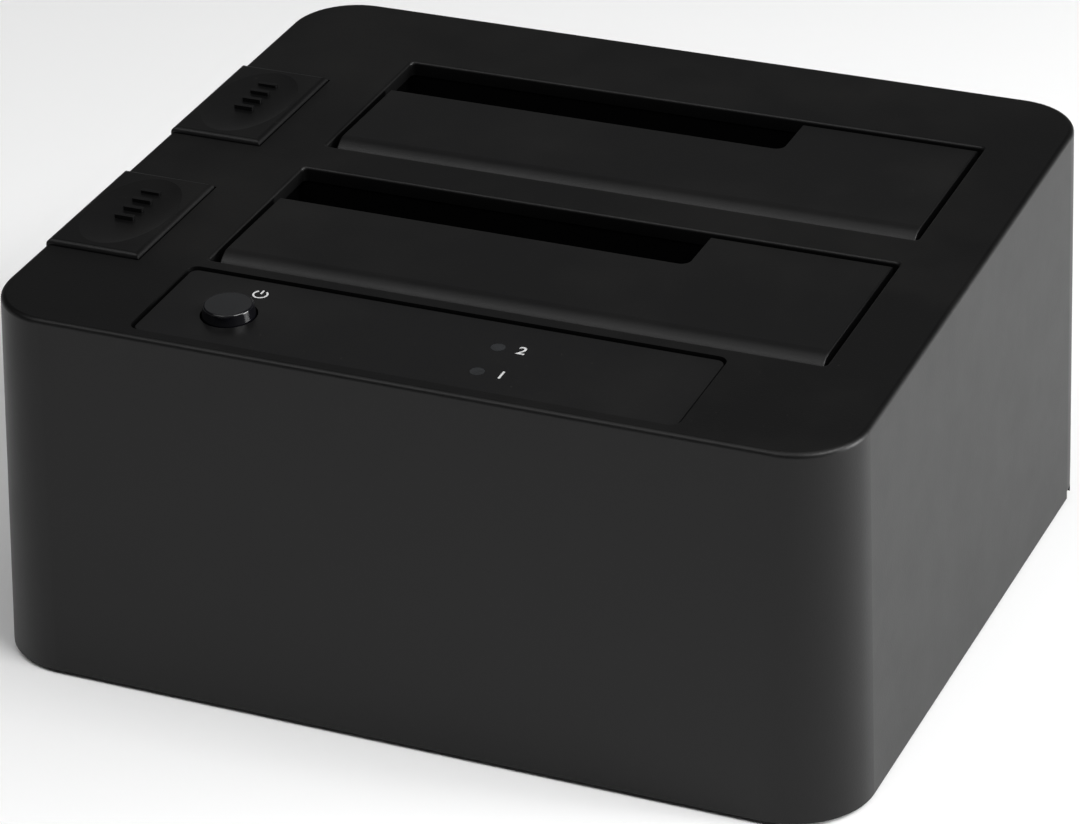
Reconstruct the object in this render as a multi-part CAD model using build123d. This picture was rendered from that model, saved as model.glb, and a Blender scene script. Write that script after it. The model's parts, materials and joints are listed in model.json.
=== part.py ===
"""Dual-bay hard drive docking station, in millimetres.

X runs along the front face, the front faces -Y, and Z is up. The origin is at the bottom centre, where
the rubber feet stand. Each named piece is written to parts/NAME.step.
"""
from build123d import *
import math
import os

os.makedirs("parts", exist_ok=True)

# Body
base_width = 150.8
base_depth = 132.4
front_height = 63.0
wall_draft = 2.0
top_slope = 3.0
base_corner_radius = 13.8
rim_radius = 0.9
wall = 2.2
top_thickness = 2.5
overrun = 5.0
skin = 0.3

# Fits
slide_gap = 0.3
pin_gap = 0.05
screw_gap = 0.02
seam_gap = 0.15
edge_break = 0.3

# Drive slots: openings in the top, one behind the other
slot_length = 106.0
slot_opening = 35.65
slot_pitch = 44.2
slot_front_land = 3.25
slot_corner_radius = 0.8
slot_edge_radius = 0.5

# Flaps
flap_end_gap = 1.0
flap_front_gap = 0.5
flap_rear_gap = 0.8
barrel_radius = 3.2
flap_face_height = 5.25
roll_radius = 4.0
roll_setback = 1.45
flap_thickness = 2.0
flap_drop_front = 0.05
flap_drop_rear = 0.4
notch_length = 73.8
notch_depth = 11.2
notch_radius = 1.6
knuckle_radius = 2.5
hinge_pin_radius = 1.2
ear_reach = 1.3
ear_width = 3.0
ear_height = 1.4
spring_pocket_length = 13.0
spring_pocket_radius = 2.3
torsion_wire_radius = 0.3
torsion_coil_radius = 1.65
torsion_turns = 6
torsion_leg = 12.0

# Bays under the slots
bay_wall = 1.8
bay_end_room = 1.8
bay_side_room = 0.2
bay_floor_thickness = 2.0
bay_floor_top = 19.0
bay_ear_length = 6.0
bay_ear_width = 8.0
bay_ear_thickness = 2.5
bay_boss_height = 6.0
bay_boss_radius = 2.6
guide_shelf_height = 40.0
guide_shelf_thickness = 2.0
guide_shelf_width = 12.0
guide_shelf_margin = 5.0

# Eject buttons on the left of the top
button_width = 17.0
button_length = 27.4
button_offset = 7.9
button_land = 10.8
button_proud = 0.8
button_edge_radius = 0.9
button_wall = 1.5
button_roof = 2.0
button_side_height = 4.5
button_skirt_height = 9.0
button_travel = 5.0
apron_thickness = 1.5
apron_height = 8.5
apron_lap = 1.2
dish_length = 24.0
dish_width = 14.6
dish_depth = 0.75
dish_bow = 4.0
ridge_count = 4
ridge_pitch = 3.1
ridge_length = 3.6
ridge_width = 0.9
ridge_rise = 0.25
ridge_inset = 8.8
ridge_shift = 3.0
plunger_radius = 2.5

# Return springs round the plungers
return_wire_radius = 0.4
return_coil_radius = 3.4
return_turns = 9

# Eject levers under the bays
lever_axis_height = 14.2
lever_axis_setback = 5.1
lever_arm_thickness = 2.5
lever_left_arm = 14.0
lever_right_arm = 14.5
lever_tilt = 10.35
lever_arm_width = 8.0
lever_barrel_radius = 2.6
lever_nose_radius = 1.5
lever_pad_width = 3.0
lever_shaft_radius = 1.5
lever_lug_thickness = 3.0
lever_lug_width = 8.0
lever_window_length = 12.0

# Bottom cover
cover_thickness = 2.2
cover_recess = 0.4
cover_rib_height = 3.0
cover_rib_thickness = 1.2
foot_stand = 0.8
foot_radius = 5.0
foot_seat_depth = 0.8
foot_inset_x = 17.4
foot_inset_y = 16.2
post_inset_x = 10.4
post_inset_y = 10.2
post_radius = 3.5
pry_notch_length = 3.0
pry_notch_height = 1.4

# Screws
screw_radius = 1.4
screw_head_radius = 2.6
screw_head_height = 1.6
screw_grip = 7.0
small_screw_radius = 0.95
small_head_radius = 1.8
small_head_height = 1.2
small_screw_grip = 4.5

# Main board
board_thickness = 1.6
board_height = 8.0
board_left_inset = 31.9
board_right_inset = 16.4
board_front_inset = 14.2
board_rear_inset = 5.2
standoff_radius = 2.6
board_hole_inset = 5.0

# Drive receptacles
receptacle_length = 38.0
receptacle_width = 6.5
receptacle_rise = 6.0
receptacle_setback = 4.4
receptacle_from_edge = 32.1
contact_slot_width = 2.4
contact_slot_depth = 5.0
signal_slot_length = 11.0
power_slot_length = 21.6
contact_slot_gap = 1.4

# Rear sockets on the main board
usb_from_right = 55.4
usb_width = 12.2
usb_height = 11.6
usb_depth = 17.0
usb_shell = 0.5
usb_tongue_width = 5.6
usb_tongue_thickness = 3.2
jack_from_right = 31.4
jack_width = 9.0
jack_height = 11.0
jack_depth = 14.4
jack_bore_radius = 3.2
jack_pin_radius = 1.0
jack_bore_depth = 9.5
socket_proud = 1.6

# Control panel along the front of the top
panel_left_land = 26.75
panel_length = 92.1
panel_front_land = 2.8
panel_width = 21.4
panel_corner_radius = 1.5
panel_gap = 0.3
panel_play = 0.3
panel_thickness = 1.0
panel_drop = 0.3
power_x = -34.0
power_from_front = 9.5
power_base_radius = 4.35
power_top_radius = 4.05
power_rise = 1.85
power_collar_depth = 3.0
power_flange_radius = 6.2
power_flange_thickness = 1.0
power_stem_radius = 2.0
power_travel = 0.8
power_cap_thickness = 0.5
lamp_x = 10.6
lamps_from_front = 9.7
lamp_pitch = 8.1
lens_radius = 1.2
lens_flange_radius = 1.9
lens_flange_thickness = 0.8

# Panel board and what it carries
panel_board_drop = 10.0
panel_board_left = -44.0
panel_board_right = 18.0
panel_board_width = 15.0
panel_board_thickness = 1.2
panel_boss_radius = 2.2
panel_boss_left_x = -22.0
panel_boss_right_x = 3.0
switch_side = 6.0
switch_height = 3.6
lamp_length = 3.2
lamp_width = 2.8
lamp_height = 1.9

# Ribbon from the panel board to the main board
ribbon_x = -12.0
ribbon_width = 10.0
ribbon_thickness = 0.3
ribbon_bend_radius = 3.0
header_length = 13.0
header_width = 4.5
header_height = 3.6

# Parts on the main board
bridge_side = 12.0
hub_side = 9.0
chip_height = 1.2
chip_standoff = 0.1
capacitor_count = 3
capacitor_radius = 4.0
capacitor_height = 5.4
inductor_count = 2
inductor_side = 7.0
inductor_height = 4.0
crystal_length = 11.4
crystal_width = 4.6
crystal_height = 3.4

# Places worked out from the sizes above
slope_tan = math.tan(math.radians(top_slope))
draft_tan = math.tan(math.radians(wall_draft))
rim_front_y = -base_depth / 2 + front_height * draft_tan
reach = base_width + base_depth
button_outer_x = -base_width / 2 + front_height * draft_tan
button_right = button_outer_x + button_width
slot_left = button_right + button_land
slot_right = slot_left + slot_length
slot_centre_x = (slot_left + slot_right) / 2
panel_front = rim_front_y + panel_front_land
panel_rear = panel_front + panel_width
panel_left = button_outer_x + panel_left_land
panel_right = panel_left + panel_length
power_y = panel_front + power_from_front
lamp_mean_y = panel_front + lamps_from_front
front_bay_y = panel_rear + slot_front_land + slot_opening / 2
bays = {"front": front_bay_y, "rear": front_bay_y + slot_pitch}
foot_spacing_x = base_width - 2 * foot_inset_x
foot_spacing_y = base_depth - 2 * foot_inset_y
post_spacing_x = base_width - 2 * post_inset_x
post_spacing_y = base_depth - 2 * post_inset_y
board_left = -base_width / 2 + board_left_inset
board_right = base_width / 2 - board_right_inset
board_front = -base_depth / 2 + board_front_inset
board_rear = base_depth / 2 - board_rear_inset
usb_x = base_width / 2 - usb_from_right
jack_x = base_width / 2 - jack_from_right
cover_bottom = foot_stand + cover_recess
cover_top = cover_bottom + cover_thickness
board_top = board_height + board_thickness
bay_floor_bottom = bay_floor_top - bay_floor_thickness
lever_axis_x = slot_left - lever_axis_setback
plunger_x = lever_axis_x - lever_left_arm
nose_rise = lever_left_arm * math.sin(math.radians(lever_tilt))
plunger_end = lever_axis_height + nose_rise + lever_nose_radius + slide_gap
receptacle_x = slot_left + receptacle_from_edge


def top_height(y, drop=0):
    """Height of the sloping top above the feet at a place y, less a vertical drop."""
    return foot_stand + front_height + (y - rim_front_y) * slope_tan - drop


def top_plane(y=0, x=0, drop=0):
    """A plane parallel to the sloping top, square to it along its own Z."""
    tilt = math.radians(top_slope)
    return Plane(origin=(x, y, top_height(y, drop)), x_dir=(1, 0, 0), z_dir=(0, -math.sin(tilt), math.cos(tilt)))


def above_top(drop=0):
    """Everything higher than the plane that lies drop below the top."""
    return top_plane(drop=drop) * Box(reach, reach, reach, align=(Align.CENTER, Align.CENTER, Align.MIN))


def below_top(drop=0):
    """Everything lower than the plane that lies drop below the top."""
    return top_plane(drop=drop) * Box(reach, reach, reach, align=(Align.CENTER, Align.CENTER, Align.MAX))


def block(x0, x1, y0, y1, z0, z1):
    """A box given by its limits."""
    return Pos((x0 + x1) / 2, (y0 + y1) / 2, (z0 + z1) / 2) * Box(x1 - x0, y1 - y0, z1 - z0)


def upright(x, y, radius, z0, z1):
    """An upright round bar given by its foot and head."""
    return Pos(x, y, (z0 + z1) / 2) * Cylinder(radius, z1 - z0)


def crosswise(x0, x1, y, z, radius):
    """A round bar along X."""
    return Pos((x0 + x1) / 2, y, z) * Rot(0, 90, 0) * Cylinder(radius, x1 - x0)


def lengthwise(x, y0, y1, z, radius):
    """A round bar along Y."""
    return Pos(x, (y0 + y1) / 2, z) * Rot(90, 0, 0) * Cylinder(radius, y1 - y0)


def round_upright_edges(shape, radius):
    """Rounds the edges that stand along Z."""
    return fillet(shape.edges().filter_by(Axis.Z), radius)


def edges_in(shape, plane, inside):
    """Edges of a shape that lie in a plane and pass a test on the middle point."""
    found = []
    for edge in shape.edges():
        heights = [abs(plane.to_local_coords(edge.position_at(share)).Z) for share in (0, 0.5, 1)]
        if max(heights) < skin / 10 and inside(edge.position_at(0.5)):
            found.append(edge)
    return found


def body_block(inset=0, drop=0):
    """The drafted, rounded body inside its outer skin by inset, cut by the plane drop below the top."""
    outline = RectangleRounded(base_width - 2 * inset, base_depth - 2 * inset, base_corner_radius - inset)
    tall = front_height + base_depth * slope_tan + overrun
    return extrude(Pos(0, 0, foot_stand) * outline, amount=tall, taper=wall_draft) - above_top(drop)


def corners(spacing_x, spacing_y):
    """Four places on a rectangle about the origin."""
    return [(sx * spacing_x / 2, sy * spacing_y / 2) for sx in (-1, 1) for sy in (-1, 1)]


def slot_limits(bay):
    """Front and rear limits of a slot."""
    return bays[bay] - slot_opening / 2, bays[bay] + slot_opening / 2


def button_limits(bay):
    """Front and rear limits of an eject button."""
    middle = bays[bay] - button_offset
    return middle - button_length / 2, middle + button_length / 2


def bay_ear_places(bay):
    """Middle points of the two screw ears of a bay, one at each end."""
    left = slot_left - bay_end_room - bay_wall - bay_ear_length / 2
    right = slot_right + bay_end_room + bay_wall + bay_ear_length / 2
    return [(left, bays[bay] + bay_ear_width), (right, bays[bay])]


def panel_boss_places():
    """Places of the two bosses that carry the panel board."""
    return [(panel_boss_left_x, lamp_mean_y), (panel_boss_right_x, lamp_mean_y)]


def lamp_places():
    """Places of the two activity lamps, the front bay's first."""
    return [(lamp_x, lamp_mean_y - lamp_pitch / 2), (lamp_x, lamp_mean_y + lamp_pitch / 2)]


def board_hole_places():
    """Places of the four standoffs of the main board."""
    xs = (board_left + board_hole_inset, board_right - board_hole_inset)
    ys = (board_front + board_hole_inset, board_rear - 2 * board_hole_inset)
    return [(x, y) for x in xs for y in ys]


def panel_outline(gap=0, play=0):
    """The control panel's outline as an upright prism, with a gap all round and more at the left and the rear."""
    prism = block(panel_left - gap - play, panel_right + gap, panel_front - gap, panel_rear + gap + play,
                  0, reach / 2)
    return round_upright_edges(prism, panel_corner_radius + gap)


def power_bar(radius, low, high):
    """A round bar on the power button's axis, between two distances from the top plane."""
    plane = top_plane(power_y, power_x)
    return plane * Pos(0, 0, (low + high) / 2) * Cylinder(radius, high - low)


def make_top_casing():
    """Outer shell with the slots, button openings, panel seat, posts and bosses."""
    casing = body_block()
    rim = edges_in(casing, top_plane(), lambda point: True)
    casing = fillet(rim, rim_radius)
    for bay in bays:
        y0, y1 = slot_limits(bay)
        opening = block(slot_left, slot_right, y0, y1, bay_floor_top, reach)
        casing -= round_upright_edges(opening, slot_corner_radius)
        edges = edges_in(casing, top_plane(), lambda point: y0 - skin < point.Y < y1 + skin
                         and slot_left - skin < point.X < slot_right + skin)
        casing = fillet(edges, slot_edge_radius)
    casing -= body_block(wall, top_thickness)
    for bay in bays:
        b0, b1 = button_limits(bay)
        middle = (b0 + b1) / 2
        low = top_height(middle) - button_skirt_height - button_travel - slide_gap
        casing -= block(-base_width, button_right + slide_gap, b0 - slide_gap, b1 + slide_gap, low, reach)
    casing -= panel_outline(panel_gap, panel_play) & above_top(panel_drop + panel_thickness)
    underside = below_top((panel_drop + panel_thickness + top_thickness) / 2)
    for x, y in corners(post_spacing_x, post_spacing_y):
        casing += upright(x, y, post_radius, cover_top, top_height(y)) & underside
    for bay in bays:
        for x, y in bay_ear_places(bay):
            boss = upright(x, y, bay_boss_radius, top_height(y, top_thickness + bay_boss_height), top_height(y))
            casing += boss & underside
    for x, y in panel_boss_places():
        boss = upright(x, y, panel_boss_radius, top_height(y, panel_board_drop + overrun), top_height(y))
        casing += boss & underside & above_top(panel_board_drop)
    for x, y in corners(post_spacing_x, post_spacing_y):
        casing -= upright(x, y, screw_radius + screw_gap, 0, cover_top + screw_grip)
    for bay in bays:
        for x, y in bay_ear_places(bay):
            foot = top_height(y, top_thickness + bay_boss_height)
            casing -= upright(x, y, small_screw_radius + screw_gap, foot - overrun, foot + small_screw_grip)
    for x, y in panel_boss_places():
        plane = top_plane(y, x, panel_board_drop)
        casing -= plane * Cylinder(small_screw_radius + screw_gap, 2 * small_screw_grip)
    casing -= power_bar(power_base_radius + slide_gap, -overrun, overrun)
    for x, y in lamp_places():
        casing -= top_plane(y, x) * Cylinder(lens_radius + slide_gap, 2 * overrun)
    casing -= rear_socket_cut(usb_x, usb_width, usb_height)
    casing -= rear_socket_cut(jack_x, jack_width, jack_height)
    notch_rear = base_depth / 2 - base_corner_radius + pry_notch_length
    casing -= block(base_width / 2 - wall - overrun, base_width, notch_rear - pry_notch_length, notch_rear,
                    0, foot_stand + pry_notch_height)
    return casing


def rear_socket_cut(x, width, height):
    """Opening in the rear wall round a socket."""
    cut = block(x - width / 2 - slide_gap, x + width / 2 + slide_gap, base_depth / 2 - wall - overrun,
                base_depth, board_top - slide_gap, board_top + height + slide_gap)
    return fillet(cut.edges().filter_by(Axis.Y), slot_corner_radius)


def make_control_panel():
    """Inlay that carries the power button and the lamp lenses."""
    panel = panel_outline() & above_top(panel_drop + panel_thickness) & below_top(panel_drop)
    top_edges = edges_in(panel, top_plane(drop=panel_drop), lambda point: True)
    panel = chamfer(top_edges, edge_break / 2)
    panel -= power_bar(power_base_radius + slide_gap, -overrun, overrun)
    for x, y in lamp_places():
        panel -= top_plane(y, x) * Cylinder(lens_radius + pin_gap, 2 * overrun)
    return panel


def make_bay(bay):
    """Liner below one slot, with a floor, screw ears and the shelf that guides the plunger."""
    y0, y1 = slot_limits(bay)
    x0, x1 = slot_left - bay_end_room, slot_right + bay_end_room
    y0, y1 = y0 - bay_side_room, y1 + bay_side_room
    liner = block(x0 - bay_wall, x1 + bay_wall, y0 - bay_wall, y1 + bay_wall, bay_floor_bottom, reach / 2)
    liner = round_upright_edges(liner, slot_corner_radius + bay_wall)
    hollow = block(x0, x1, y0, y1, bay_floor_top, reach)
    liner -= round_upright_edges(hollow, slot_corner_radius)
    liner &= below_top(top_thickness)
    shelf_y = bays[bay] - button_offset
    shelf = block(plunger_x - guide_shelf_margin, x0 - bay_wall / 2, shelf_y - guide_shelf_width / 2,
                  shelf_y + guide_shelf_width / 2, guide_shelf_height, guide_shelf_height + guide_shelf_thickness)
    web = block(plunger_x + guide_shelf_margin, x0 - bay_wall / 2, shelf_y - guide_shelf_thickness / 2,
                shelf_y + guide_shelf_thickness / 2, guide_shelf_height - 2 * guide_shelf_margin, guide_shelf_height)
    liner += [shelf, web]
    liner -= upright(plunger_x, shelf_y, plunger_radius + slide_gap, guide_shelf_height - overrun,
                     guide_shelf_height + overrun)
    for x, y in bay_ear_places(bay):
        ear_top = top_height(y, top_thickness + bay_boss_height)
        inward = math.copysign(bay_wall / 2, slot_centre_x - x)
        low_x, high_x = sorted((x - math.copysign(bay_ear_length / 2, inward), x + math.copysign(
            bay_ear_length / 2, inward) + inward))
        liner += block(low_x, high_x, y - bay_ear_width / 2, y + bay_ear_width / 2,
                       ear_top - bay_ear_thickness, ear_top)
        liner -= upright(x, y, small_screw_radius + slide_gap, ear_top - overrun, ear_top + overrun)
    liner -= receptacle_block(bay, slide_gap)
    liner -= block(x0, x0 + lever_window_length, y1 - lever_arm_width - 2 * slide_gap - bay_side_room, y1,
                   0, bay_floor_top + overrun)
    hinge_y, hinge_z = hinge_place(bay)
    liner -= crosswise(x0 - bay_wall - overrun, x1 + bay_wall + overrun, hinge_y, hinge_z,
                       hinge_pin_radius + screw_gap)
    return liner


def hinge_place(bay):
    """Place of a flap's hinge axis in Y and Z."""
    y = slot_limits(bay)[0] + flap_front_gap + barrel_radius
    return y, top_height(y, flap_drop_front) - flap_face_height


def flap_rear_corner(bay):
    """Rise and run from a flap's hinge axis to the upper rear edge of its plate."""
    hinge_y, hinge_z = hinge_place(bay)
    rear_y = slot_limits(bay)[1] - flap_rear_gap
    return top_height(rear_y, flap_drop_rear) - hinge_z, rear_y - hinge_y


def flap_lean(bay):
    """Angle of a flap's plate, whose upper face lies a set height above the hinge axis, in degrees."""
    rise, run = flap_rear_corner(bay)
    return math.degrees(math.atan2(rise, run) - math.asin(flap_face_height / math.hypot(rise, run)))


def make_flap(bay):
    """Flap hinged along the front of its slot, with the smaller drive's notch at the rear left."""
    hinge_y, hinge_z = hinge_place(bay)
    x0, x1 = slot_left + flap_end_gap, slot_right - flap_end_gap
    lean = math.radians(flap_lean(bay))
    frame = Plane(origin=(x0, hinge_y, hinge_z), x_dir=(1, 0, 0), z_dir=(0, -math.sin(lean), math.cos(lean)))
    length = x1 - x0
    plate_run = math.sqrt(math.hypot(*flap_rear_corner(bay)) ** 2 - flap_face_height ** 2)
    low, high = flap_face_height - flap_thickness, flap_face_height
    plate = block(0, length, roll_setback, plate_run, low, high)
    notch_y = plate_run - notch_depth + flap_rear_gap
    notch_x = slot_left + notch_length - x0
    plate -= block(-overrun, notch_x, notch_y, plate_run + overrun, low - overrun, high + overrun)
    inner = [edge for edge in plate.edges().filter_by(Axis.Z)
             if abs(edge.center().X - notch_x) < skin and abs(edge.center().Y - notch_y) < skin]
    plate = fillet(inner, notch_radius)
    upper = [edge for edge in plate.edges() if abs(edge.position_at(0.5).Z - high) < skin / 10
             and edge.position_at(0.5).Y > roll_setback + skin]
    plate = fillet(upper, edge_break)
    barrel = crosswise(0, length, 0, 0, barrel_radius)
    barrel = fillet(barrel.edges().filter_by(GeomType.CIRCLE), edge_break)
    roll = crosswise(0, length, roll_setback, high - roll_radius, roll_radius)
    roll = fillet(roll.edges().filter_by(GeomType.CIRCLE), edge_break)
    roll &= block(-overrun, length + overrun, -reach, roll_setback, -reach, reach)
    knuckles = crosswise(slide_gap - bay_end_room - flap_end_gap, length + flap_end_gap + bay_end_room - slide_gap,
                         0, 0, knuckle_radius)
    flap = plate + roll + barrel + knuckles
    ear_y = plate_run - ear_width
    for inward, end in ((1, 0), (-1, length)):
        tip = end - inward * (flap_end_gap + ear_reach)
        root = end + inward * ear_width
        top = high - flap_thickness
        shift = notch_depth if inward > 0 else 0
        ear = block(min(tip, root), max(tip, root), ear_y - shift, plate_run - shift, top - ear_height, top + skin)
        clear = high + flap_drop_rear - top_thickness - slide_gap
        shoulder = block(min(tip, end), max(tip, end), ear_y - shift, plate_run - shift, clear, high)
        flap += ear - shoulder
    flap -= crosswise(-overrun, length + overrun, 0, 0, hinge_pin_radius + pin_gap)
    left, right = (length - spring_pocket_length) / 2, (length + spring_pocket_length) / 2
    leg_top = torsion_coil_radius + torsion_wire_radius + pin_gap
    pocket = crosswise(left, right, 0, 0, spring_pocket_radius)
    mouth = block(left, right, -barrel_radius, barrel_radius, -barrel_radius - overrun, 0)
    leg_room = block(left, right, 0, barrel_radius + overrun, -barrel_radius - overrun, leg_top)
    flap -= [pocket, mouth, leg_room]
    flap += block(left + slide_gap, right - slide_gap, spring_pocket_radius, torsion_leg, leg_top, low + skin)
    return frame * flap


def coil(radius, pitch, turns, wire_radius, leg=0):
    """A coil spring about Z as arcs of a quarter turn, with a straight leg off its last turn."""
    steps = 4 * turns

    def point(share):
        angle = 2 * math.pi * share
        return Vector(radius * math.cos(angle), radius * math.sin(angle), pitch * share)

    path = [ThreePointArc(point(i / 4), point((i + 0.5) / 4), point((i + 1) / 4)) for i in range(steps)]
    if leg:
        end = path[-1].position_at(1)
        path.append(Line(end, end + leg * path[-1].tangent_at(1)))
    path = Wire(path)
    start = path.position_at(0)
    section = Plane(origin=start, z_dir=path.tangent_at(0)) * Circle(wire_radius)
    return sweep(section, path=path)


def make_flap_spring(bay):
    """Torsion spring round the hinge pin that holds the flap shut, with its leg under the flap."""
    hinge_y, hinge_z = hinge_place(bay)
    pitch = 2 * torsion_wire_radius + slide_gap
    long = pitch * torsion_turns
    winding = coil(torsion_coil_radius, pitch, torsion_turns, torsion_wire_radius, torsion_leg)
    lean = flap_lean(bay)
    seat = Pos(slot_centre_x + long / 2, hinge_y, hinge_z) * Rot(lean, 0, 0)
    return seat * Rot(0, -90, 0) * winding


def make_flap_pin(bay):
    """Steel hinge pin of a flap, held in the end walls of its bay."""
    hinge_y, hinge_z = hinge_place(bay)
    x0, x1 = slot_left - bay_end_room - bay_wall, slot_right + bay_end_room + bay_wall
    pin = crosswise(x0, x1, hinge_y, hinge_z, hinge_pin_radius)
    return chamfer(pin.edges().filter_by(GeomType.CIRCLE), edge_break)


def make_eject_button(bay):
    """Dished push button with its side skirt and the plunger that works the lever."""
    b0, b1 = button_limits(bay)
    middle = (b0 + b1) / 2
    roof_z = top_height(middle)
    skirt_low = roof_z - button_skirt_height
    side_low = roof_z - button_side_height - button_roof
    cap = body_block(0, -button_proud) & block(-base_width, button_right, b0, b1, skirt_low, reach)
    top = top_plane(drop=-button_proud)
    cap = fillet(edges_in(cap, top, lambda point: True), button_edge_radius)
    skirt_inset = wall + slide_gap + apron_thickness
    hollow = body_block(skirt_inset, button_roof - button_proud)
    hollow &= block(-base_width, button_right - button_wall, b0 + button_wall, b1 - button_wall, 0, reach)
    cap -= hollow
    inside = body_block(skirt_inset)
    cap -= inside & block(-base_width, base_width, b0 - overrun, b1 + overrun, 0, side_low)
    apron = body_block(wall + slide_gap, button_roof / 2) - body_block(skirt_inset, -button_proud)
    stem = block(-base_width, 0, b0 + button_wall, b1 - button_wall, skirt_low, roof_z)
    lip = block(-base_width, 0, b0 - apron_lap, b1 + apron_lap, skirt_low - apron_height, roof_z)
    cap += apron & (stem + (lip & below_top(top_thickness + slide_gap)))
    centre_x = (button_outer_x + button_right) / 2
    high_share = (dish_bow - 1) / dish_bow
    foot_share = math.sqrt(1 - high_share ** 2)
    bowl = scale(Sphere(1), by=(dish_width / 2 / foot_share, dish_length / 2 / foot_share, dish_bow * dish_depth))
    cap -= top_plane(middle, centre_x, -button_proud) * Pos(0, 0, (dish_bow - 1) * dish_depth) * bowl
    for i in range(ridge_count):
        y = middle + ridge_shift + (i - (ridge_count - 1) / 2) * ridge_pitch
        x = button_right - ridge_inset
        ridge = Box(ridge_length, ridge_width, dish_depth + ridge_rise)
        seat = top_plane(y, x, -button_proud) * Pos(0, 0, (ridge_rise - dish_depth) / 2 - ridge_rise)
        cap += seat * fillet(ridge.edges().filter_by(Axis.Z), ridge_width / 3)
    plunger = upright(plunger_x, middle, plunger_radius, plunger_end, roof_z - button_roof / 2)
    return cap + chamfer(plunger.edges().group_by(Axis.Z)[0], edge_break)


def make_return_spring(bay):
    """Compression spring between the guide shelf and the button's roof."""
    y = bays[bay] - button_offset
    low = guide_shelf_height + guide_shelf_thickness + return_wire_radius
    high = top_height(y) - button_roof + button_proud - return_wire_radius - slide_gap
    pitch = (high - low) / return_turns
    return Pos(plunger_x, y, low) * coil(return_coil_radius, pitch, return_turns, return_wire_radius)


def lever_span(bay):
    """Front and rear limits of a lever's barrel."""
    return bays[bay] - button_offset - lever_arm_width / 2, slot_limits(bay)[1] - slide_gap


def make_eject_lever(bay):
    """Rocking lever: the plunger pushes its left arm down and its right arm lifts the drive."""
    y0, y1 = lever_span(bay)
    lever = lengthwise(0, y0, y1, 0, lever_barrel_radius)
    lever += block(-lever_left_arm, 0, y0, y0 + lever_arm_width, -lever_arm_thickness / 2, lever_arm_thickness / 2)
    lever += lengthwise(-lever_left_arm, y0, y0 + lever_arm_width, 0, lever_nose_radius)
    lever += block(0, lever_right_arm, y1 - lever_arm_width, y1, -lever_arm_thickness / 2, lever_arm_thickness / 2)
    lever = Rot(0, lever_tilt, 0) * lever
    pad_x = lever_right_arm * math.cos(math.radians(lever_tilt)) - lever_pad_width / 2
    pad_foot = -lever_right_arm * math.sin(math.radians(lever_tilt))
    pad = block(pad_x - lever_pad_width / 2, pad_x + lever_pad_width / 2, y1 - lever_arm_width, y1, pad_foot,
                bay_floor_top - slide_gap - lever_axis_height)
    upper = pad.edges().filter_by(Axis.Y).group_by(Axis.Z)[-1]
    lever += fillet(upper, lever_pad_width / 3)
    lever -= lengthwise(0, y0 - overrun, y1 + overrun, 0, lever_shaft_radius + pin_gap)
    return Pos(lever_axis_x, 0, lever_axis_height) * lever


def make_lever_shaft(bay):
    """Steel shaft that the lever rocks on, held by two lugs of the bottom cover."""
    y0, y1 = lever_span(bay)
    past = slide_gap + lever_lug_thickness
    shaft = lengthwise(lever_axis_x, y0 - past, y1 + past, lever_axis_height, lever_shaft_radius)
    return chamfer(shaft.edges().filter_by(GeomType.CIRCLE), edge_break)


def make_bottom_cover():
    """Base plate with its locating rib, standoffs, lever lugs, screw holes and foot seats."""
    inset = wall + seam_gap
    outline = RectangleRounded(base_width - 2 * inset, base_depth - 2 * inset, base_corner_radius - inset)
    cover = extrude(Pos(0, 0, cover_bottom) * outline, amount=cover_thickness, taper=wall_draft)
    rib_inset = inset + cover_thickness * draft_tan
    rib_outline = RectangleRounded(base_width - 2 * rib_inset, base_depth - 2 * rib_inset,
                                   base_corner_radius - rib_inset)
    hollow_inset = rib_inset + cover_rib_thickness
    rib_hollow = RectangleRounded(base_width - 2 * hollow_inset, base_depth - 2 * hollow_inset,
                                  base_corner_radius - hollow_inset)
    rib = extrude(Pos(0, 0, cover_top) * rib_outline, amount=cover_rib_height, taper=wall_draft)
    cover += rib - extrude(Pos(0, 0, cover_top) * rib_hollow, amount=cover_rib_height)
    for x, y in board_hole_places():
        cover += upright(x, y, standoff_radius, cover_bottom + cover_thickness / 2, board_height)
    for bay in bays:
        y0, y1 = lever_span(bay)
        for lug_y in (y0 - slide_gap - lever_lug_thickness, y1 + slide_gap):
            lug = block(lever_axis_x - lever_lug_width / 2, lever_axis_x + lever_lug_width / 2, lug_y,
                        lug_y + lever_lug_thickness, cover_top - cover_thickness / 2,
                        lever_axis_height + lever_barrel_radius)
            upper = lug.edges().filter_by(Axis.Y).group_by(Axis.Z)[-1]
            cover += fillet(upper, lever_barrel_radius)
        cover -= lengthwise(lever_axis_x, y0 - overrun, y1 + overrun, lever_axis_height,
                            lever_shaft_radius + screw_gap)
    for x, y in corners(post_spacing_x, post_spacing_y):
        cover -= upright(x, y, post_radius + seam_gap, cover_top, cover_top + overrun)
        cover -= upright(x, y, screw_radius + seam_gap, 0, cover_top)
        cover -= upright(x, y, screw_head_radius + seam_gap, 0, cover_bottom + screw_head_height / 2)
    for x, y in corners(foot_spacing_x, foot_spacing_y):
        cover -= upright(x, y, foot_radius + seam_gap, 0, cover_bottom + foot_seat_depth)
    for x, y in board_hole_places():
        cover -= upright(x, y, small_screw_radius + screw_gap, board_height - small_screw_grip, reach)
    return cover


def make_rubber_feet():
    """Four round feet, seated in the bottom cover."""
    feet = []
    for x, y in corners(foot_spacing_x, foot_spacing_y):
        foot = upright(x, y, foot_radius, 0, cover_bottom + foot_seat_depth)
        feet.append(fillet(foot.edges().filter_by(GeomType.CIRCLE).group_by(Axis.Z)[0], edge_break))
    return feet


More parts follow.
